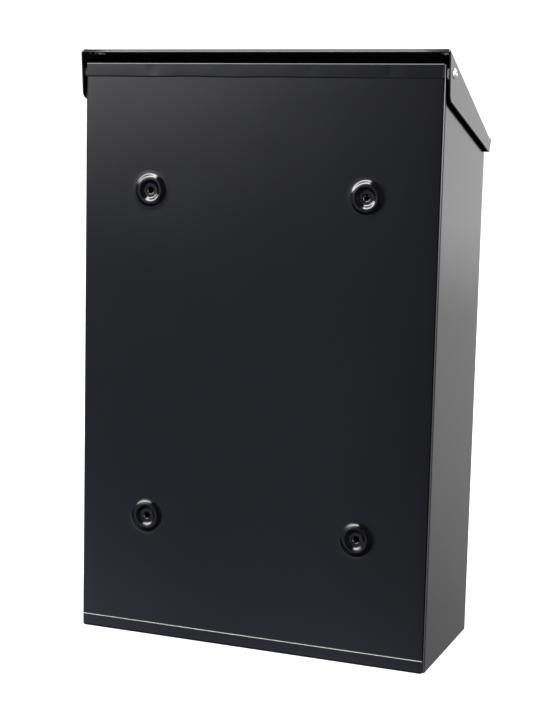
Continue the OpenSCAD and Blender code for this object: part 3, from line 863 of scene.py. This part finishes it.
def hinge_hardware(end, up):
    """Pin and flanged bush at one end of the door; up is the pin's direction."""
    head, shank, head_t = 3 * MM, 2 * MM, 1.2 * MM
    node = end + "_hinge_pin"
    foot, length = axial(node, 2, up, hinge)
    pin = [(0, 0), (head - 0.3 * MM, 0), (head, 0.3 * MM), (head, head_t - 0.1 * MM),
           (shank + 0.1 * MM, head_t), (shank, head_t + 0.1 * MM), (shank, length - 0.6 * MM),
           (shank - 0.5 * MM, length), (0, length)]
    turned(node + "_turned", pin, foot, (0, 0, up), ZINC, "root", node)
    node = end + "_bush"
    foot, height = axial(node, 2, up, hinge)
    bore, sleeve, flange, flange_t = shank + RUNNING, 3.04 * MM, 5.06 * MM, 1.2 * MM
    bush = [(bore + CHAMFER, 0), (flange - CHAMFER, 0), (flange, CHAMFER), (flange, flange_t - 0.1 * MM),
            (sleeve, flange_t), (sleeve, height - CHAMFER), (sleeve - CHAMFER, height),
            (bore + 0.1 * MM, height), (bore, height - CHAMFER), (bore, CHAMFER)]
    turned(node + "_moulded", bush, foot, (0, 0, up), NYLON, "door", node)


def buffers():
    """Rubber pads on the door stop and under the lid."""
    low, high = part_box("door_buffers")
    pad_r, pad_t = (high.z - low.z) / 2, high.y - low.y
    pad = [(0, 0), (pad_r, 0), (pad_r, pad_t - 0.7 * MM), (pad_r - 0.25 * MM, pad_t - 0.2 * MM),
           (pad_r - 0.9 * MM, pad_t), (0, pad_t)]
    for word, x in (("left", low.x + pad_r), ("right", high.x - pad_r)):
        foot = Vector((x, high.y, (low.z + high.z) / 2))
        turned("door_buffer_" + word, pad, foot, (0, -1, 0), RUBBER, "root", "door_buffers")
    low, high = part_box("lid_buffers")
    pad_r, pad_t, dimple = 4.5 * MM, 4.5 * MM, 1 * MM
    normal = Vector((0, -math.sin(LID_SLOPE), math.cos(LID_SLOPE)))
    middle = (low + high) / 2
    pad = [(0, 0), (pad_r, 0), (pad_r, 0.8 * MM), (pad_r - 0.6 * MM, pad_t - 0.6 * MM),
           (pad_r - 1.2 * MM, pad_t), (1.5 * MM, pad_t), (1.3 * MM, pad_t - dimple), (0, pad_t - dimple)]
    for word, x in (("left", low.x + pad_r), ("right", high.x - pad_r)):
        foot = Vector((x, middle.y, middle.z)) + normal * pad_t / 2
        turned("lid_buffer_" + word, pad, foot, -normal, RUBBER, "lid", "lid_buffers")


def polar_solid(name, loops, steps=96):
    """Ring-shaped solid round Z with a closed section. A loop is (radius at a turn, height, most X)."""
    bm = bmesh.new()
    rows = []
    for radius, height, limit in loops:
        row = []
        for k in range(steps):
            turn = 2 * math.pi * k / steps
            r = radius(turn) if callable(radius) else radius
            x = max(-limit, min(limit, r * math.cos(turn)))
            row.append(bm.verts.new((x, r * math.sin(turn), height)))
        rows.append(row)
    for first, second in zip(rows, rows[1:] + rows[:1]):
        quads(bm, first, second, closed=True)
    return new_piece(name, bm)


def hexagon(radius, limit):
    """Radius of a hexagon at a turn, cut to a limit, from its radius at the corners."""
    def outline(turn):
        return min(limit, radius * math.cos(math.pi / 6) / math.cos(turn % (math.pi / 3) - math.pi / 6))
    return outline


def hex_piece(name, radius, hole, height, origin, direction, finish, body, node):
    """Hexagonal nut or head with its corners chamfered to a cone on the outer side."""
    cone = radius * math.cos(math.pi / 6) * 0.97
    loops = [(hexagon(radius, limit), z, 1) for limit, z in (
        (cone, 0), (radius, 0.12 * height), (radius, 0.72 * height), (cone, height),
        (hole, height), (hole, 0))]
    piece = put(polar_solid(name, loops), facing(origin, direction))
    finish_piece(piece, finish, body, node, 0.12 * MM)


def lock_body():
    """Bezel with a dished face on a threaded barrel with two flats."""
    low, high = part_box("lock_body")
    bezel_r, bezel_t, bore, flat_x = 9.5 * MM, 1.8 * MM, 6.06 * MM, 7 * MM
    pitch, depth = 1 * MM, 0.35 * MM
    length = high.y - low.y
    loops = [(radius, height, 1) for radius, height in (
        (bore + 0.35 * MM, 0.55 * MM), (7.0 * MM, 0.35 * MM), (7.4 * MM, 0.1 * MM), (8.3 * MM, 0),
        (9.0 * MM, 0.25 * MM), (9.4 * MM, 0.75 * MM), (bezel_r, 1.1 * MM),
        (bezel_r, bezel_t - 0.05 * MM), (bezel_r - 0.1 * MM, bezel_t))]
    start = bezel_t + 0.3 * MM
    root_r = BARREL_R - depth
    loops.append((root_r, bezel_t, flat_x))
    for step in range(int((length - start) / (pitch / 8))):
        height = start + step * pitch / 8

        def thread(turn, height=height):
            phase = (height / pitch - turn / (2 * math.pi)) % 1
            fade = smooth((height - start) / pitch) * smooth((length - height) / pitch)
            return BARREL_R - depth * (1 - fade * (1 - abs(2 * phase - 1)))

        loops.append((thread, height, flat_x))
    loops += [(root_r - 0.2 * MM, length, flat_x), (bore, length, 1), (bore, 0.7 * MM, 1)]
    piece = polar_solid("lock_body_threaded", loops)
    put(piece, facing(Vector((lock.x, low.y, lock.z)), (0, 1, 0)))
    finish_piece(piece, CHROME, "door", "lock_body")


def lock_plug():
    """Plug with a keyway, and a square tail for the cam."""
    low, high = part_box("lock_plug")
    radius, tail, key_w, key_h, key_depth = 6 * MM, 3 * MM, 1.6 * MM, 8 * MM, 9 * MM
    edge, dish, dish_r = 0.3 * MM, 0.25 * MM, 4.6 * MM
    total = high.y - low.y
    shoulder = total - 2.15 * MM
    profile = [(0, dish), (dish_r, dish), (dish_r + 0.2 * MM, 0), (radius - edge, 0), (radius, edge),
               (radius, shoulder - edge), (radius - edge, shoulder), (0, shoulder)]
    piece = lathe("lock_plug_cut", profile)
    punch(piece, box_mesh("keyway_cutter", (-key_w / 2, -key_h / 2, -MM), (key_w / 2, key_h / 2, key_depth)))
    square = box_mesh("plug_tail", (-tail, -tail, shoulder - 0.2 * MM), (tail, tail, total))
    join(piece, square)
    put(piece, facing(Vector((lock.x, low.y, lock.z)), (0, 1, 0)))
    finish_piece(piece, NICKEL, "lock", "lock_plug", 0.12 * MM)


def box_mesh(name, low, high):
    """A plain box between two corners."""
    bm = bmesh.new()
    bmesh.ops.create_cube(bm, size=1)
    low, high = Vector(low), Vector(high)
    for vert in bm.verts:
        vert.co = Vector(low[k] + (vert.co[k] + 0.5) * (high[k] - low[k]) for k in range(3))
    return new_piece(name, bm)


def join(piece, other):
    """Adds another piece's mesh to a piece."""
    bm = bmesh.new()
    bm.from_mesh(piece.data)
    bm.from_mesh(other.data)
    bm.to_mesh(piece.data)
    bm.free()
    bpy.data.objects.remove(other)


def lock_cam():
    """Stamped cam: round root, tapered arm and rounded tip, with a square hole."""
    low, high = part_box("lock_cam")
    root_r, tip_r, thickness = 7 * MM, 5 * MM, high.y - low.y
    tip_z = low.z + tip_r - lock.z
    lean = math.degrees(math.asin((root_r - tip_r) / -tip_z))
    points = arc((0, 0), root_r, -lean, 180 + lean, 32) + arc((0, tip_z), tip_r, 180 + lean, 360 - lean, 24)
    bm = bmesh.new()
    loop = [bm.verts.new((p.x, low.y, p.y)) for p in points]
    base = bm.faces.new(loop)
    top = bmesh.ops.extrude_face_region(bm, geom=[base])
    moved = [v for v in top["geom"] if isinstance(v, bmesh.types.BMVert)]
    bmesh.ops.translate(bm, verts=moved, vec=(0, thickness, 0))
    piece = new_piece("lock_cam_stamped", bm)
    square = 3.02 * MM
    punch(piece, box_mesh("cam_cutter", (-square, low.y - MM, -square), (square, high.y + MM, square)))
    put(piece, Matrix.Translation((lock.x, 0, lock.z)))
    finish_piece(piece, ZINC, "lock", "lock_cam", 0.25 * MM)


def lock_hardware():
    """Seal, nut, cam washer and cam screw."""
    axis = (0, 1, 0)
    foot, thick = axial("lock_gasket", 1, 1, lock)
    inner, outer = BARREL_R, 9.55 * MM
    seal = [(inner, 0.1 * MM), (inner + 0.2 * MM, 0), (outer - 0.25 * MM, 0), (outer, thick / 2),
            (outer - 0.25 * MM, thick), (inner + 0.2 * MM, thick), (inner, thick - 0.1 * MM)]
    turned("lock_gasket_moulded", seal, foot, axis, RUBBER, "door", "lock_gasket")
    foot, thick = axial("lock_nut", 1, 1, lock)
    hex_piece("lock_nut_hex", 12 * MM, 7.7 * MM, thick, foot, axis, ZINC, "door", "lock_nut")
    foot, thick = axial("cam_washer", 1, 1, lock)
    washer = disc_profile(6 * MM, 2 * MM, thick, 0.12 * MM)
    turned("cam_washer_turned", washer, foot, axis, ZINC, "lock", "cam_washer")
    foot, length = axial("cam_screw", 1, 1, lock)
    head_t, shank_r, tip = 2.8 * MM, 2 * MM, 0.4 * MM
    length -= head_t
    head = foot + length * Vector(axis)
    hex_piece("cam_screw_head", 4.2 * MM, 0.01 * MM, head_t, head, axis, ZINC, "lock", "cam_screw")
    shank = [(0, 0), (shank_r - tip, 0), (shank_r, tip), (shank_r, length), (0, length)]
    turned("cam_screw_shank", shank, foot, axis, ZINC, "lock", "cam_screw")


body_shell()
bottom_pan()
front_rail()
strike_bracket()
lid()
door_panel()
pivot_hardware(1, "right")
pivot_hardware(-1, "left")
hinge_hardware("lower", 1)
hinge_hardware("upper", -1)
buffers()
lock_body()
lock_plug()
lock_cam()
lock_hardware()


# ---- Camera and light ------------------------------------------------------

WORLD_LEVEL = 1.27
KEY_LEVEL = 0.6
FILL_LEVEL = 12.0
CARD_LEVEL = 0.39
BANK_LEVEL = 22.0
SIDE_LEVEL = 10.0


def make_camera():
    """Camera behind the box, at the height of its upper wall holes."""
    data = bpy.data.cameras.new("camera")
    data.sensor_width = 36
    data.lens = 77.76
    camera = bpy.data.objects.new("camera", data)
    bpy.context.collection.objects.link(camera)
    camera.location = (-0.4020, 0.9975, FLOOR_Z + 0.3564)
    yaw, pitch, roll = (math.radians(v) for v in (21.28, 7.81, 1.33))
    forward = Vector((math.sin(yaw) * math.cos(pitch), -math.cos(yaw) * math.cos(pitch), -math.sin(pitch)))
    camera.rotation_mode = "QUATERNION"
    look = forward.to_track_quat("-Z", "Y")
    camera.rotation_quaternion = look @ Matrix.Rotation(roll, 4, "Z").to_quaternion()
    bpy.context.scene.camera = camera


def area_light(name, place, target, size, radiance):
    """Soft box of even radiance that the camera doesn't see."""
    data = bpy.data.lights.new(name, "AREA")
    data.shape = "RECTANGLE"
    data.size, data.size_y = size
    data.energy = radiance * math.pi * size[0] * size[1]
    light = bpy.data.objects.new(name, data)
    bpy.context.collection.objects.link(light)
    light.location = place
    direction = Vector(target) - Vector(place)
    light.rotation_mode = "QUATERNION"
    light.rotation_quaternion = direction.to_track_quat("-Z", "Y")
    light.visible_camera = False
    light.visible_glossy = False


def plane(name, corners, material):
    """A flat four-cornered stage object."""
    bm = bmesh.new()
    bm.faces.new([bm.verts.new(c) for c in corners])
    piece = new_piece(name, bm)
    piece.data.materials.append(material)
    return piece


def make_floor():
    """Pale floor, which the paint's gloss doesn't pick up."""
    material, shader, add, place = node_material("floor")
    cloud = add("ShaderNodeTexNoise", [(place, "Vector")], Scale=3.0, Detail=4.0)
    tone = add("ShaderNodeValToRGB", [(cloud.outputs["Fac"], "Fac")])
    ramp(tone, [(0.3, 0.42), (0.7, 0.45)])
    feed(shader, "Base Color", tone.outputs["Color"])
    shader.inputs["Roughness"].default_value = 0.9
    shader.inputs["Emission Color"].default_value = (1, 1, 1, 1)
    shader.inputs["Emission Strength"].default_value = 0.85
    reach = 30
    floor = plane("floor", [(-reach, -reach, FLOOR_Z), (reach, -reach, FLOOR_Z),
                            (reach, reach, FLOOR_Z), (-reach, reach, FLOOR_Z)], material)
    floor.visible_glossy = False


def make_card():
    """Surround behind the camera that the back panel and its edges mirror, seen only in reflections."""
    material, shader, add, place = node_material("card")
    tree = material.node_tree
    split = add("ShaderNodeSeparateXYZ", [(place, "Vector")])

    def level(axis, *limits):
        return map_range(add, split.outputs[axis], *limits, interpolation_type="SMOOTHSTEP")

    def glow(x, z, reach_x, reach_z, strength):
        shape = add("ShaderNodeMapping", [(place, "Vector")], Location=(-x / reach_x, 0, -z / reach_z),
                    Scale=(1 / reach_x, 0, 1 / reach_z))
        fall = add("ShaderNodeTexGradient", [(shape.outputs["Vector"], "Vector")],
                   gradient_type="QUADRATIC_SPHERE")
        return combine("MULTIPLY", fall.outputs["Fac"], strength)

    def combine(operation, first, second):
        node = add("ShaderNodeMath", operation=operation)
        for socket, value in zip(node.inputs, (first, second)):
            if isinstance(value, (int, float)):
                socket.default_value = value
            else:
                tree.links.new(value, socket)
        return node.outputs["Value"]

    # dim wall of the room, with two faint pools of light low on it
    wall = combine("MULTIPLY", level("X", 0.05, 0.75, 0.02, CARD_LEVEL), level("X", 7.0, 10.0, 1, 0))
    wall = combine("MULTIPLY", wall, level("Z", -2.2, -1.4, 0, 1))
    wall = combine("ADD", wall, glow(1.7, -1.1, 0.9, 0.6, 1.4))
    wall = combine("ADD", wall, glow(0.6, -1.3, 0.9, 0.7, 0.8))
    # bank of lamps above it, the glow under them and a lamp far to the side
    bank = combine("MULTIPLY", level("Z", 1.3, 2.3, 0, BANK_LEVEL), level("Z", 2.75, 3.4, 1, 0))
    bank = combine("MULTIPLY", bank, level("X", 0.15, 0.5, 0, 1))
    bank = combine("MULTIPLY", bank, level("X", 7.0, 9.0, 1, 0))
    side = level("Z", -0.6, 0.3, 0.2 * SIDE_LEVEL, SIDE_LEVEL)
    side = combine("MULTIPLY", level("X", -2.6, -2.3, 1, 0), side)
    bank = combine("ADD", bank, combine("ADD", side, glow(1.5, 0.7, 1.3, 0.9, 5.8)))
    cool = add("ShaderNodeEmission", [(wall, "Strength")], Color=(0.88, 0.93, 1.13, 1))
    warm = add("ShaderNodeEmission", [(bank, "Strength")], Color=(1.0, 0.99, 0.96, 1))
    both = add("ShaderNodeAddShader", [(cool.outputs["Emission"], 0), (warm.outputs["Emission"], 1)])
    tree.links.new(both.outputs["Shader"], tree.nodes["Material Output"].inputs["Surface"])
    y, reach, height = 2.2, 30, 8
    card = plane("card", [(-reach, y, -height), (reach, y, -height),
                          (reach, y, height), (-reach, y, height)], material)
    card.visible_camera = False
    card.visible_diffuse = False
    card.visible_shadow = False
    card.visible_transmission = False


def make_world():
    """Even white surround that dims step by step below the horizon."""
    world = bpy.data.worlds.new("world")
    world.use_nodes = True
    bpy.context.scene.world = world
    add = node_adder(world.node_tree)
    split = add("ShaderNodeSeparateXYZ", [(add("ShaderNodeTexCoord").outputs["Generated"], "Vector")])
    fade = add("ShaderNodeValToRGB", [(map_range(add, split.outputs["Z"], -1, 1, 0, 1), "Fac")])
    ramp(fade, [(0.0, 0.10), (0.20, 0.22), (0.30, 0.24), (0.352, 0.29), (0.40, 0.46),
                (0.45, 0.57), (0.476, 1.0)])
    level = add("ShaderNodeMath", [(fade.outputs["Color"], 0)], operation="MULTIPLY")
    level.inputs[1].default_value = WORLD_LEVEL
    background = world.node_tree.nodes["Background"]
    feed(background, "Strength", level.outputs["Value"])
    background.inputs["Color"].default_value = (1, 1, 1, 1)


make_camera()
make_floor()
make_card()
make_world()
area_light("overhead", (0, 0, 2.4), (0, 0, 0), (3, 3), KEY_LEVEL)
area_light("rear_fill", (-0.3, 2.5, 0.4), (0, 0, 0), (2, 2), FILL_LEVEL)
bpy.context.scene.view_settings.view_transform = "Standard"
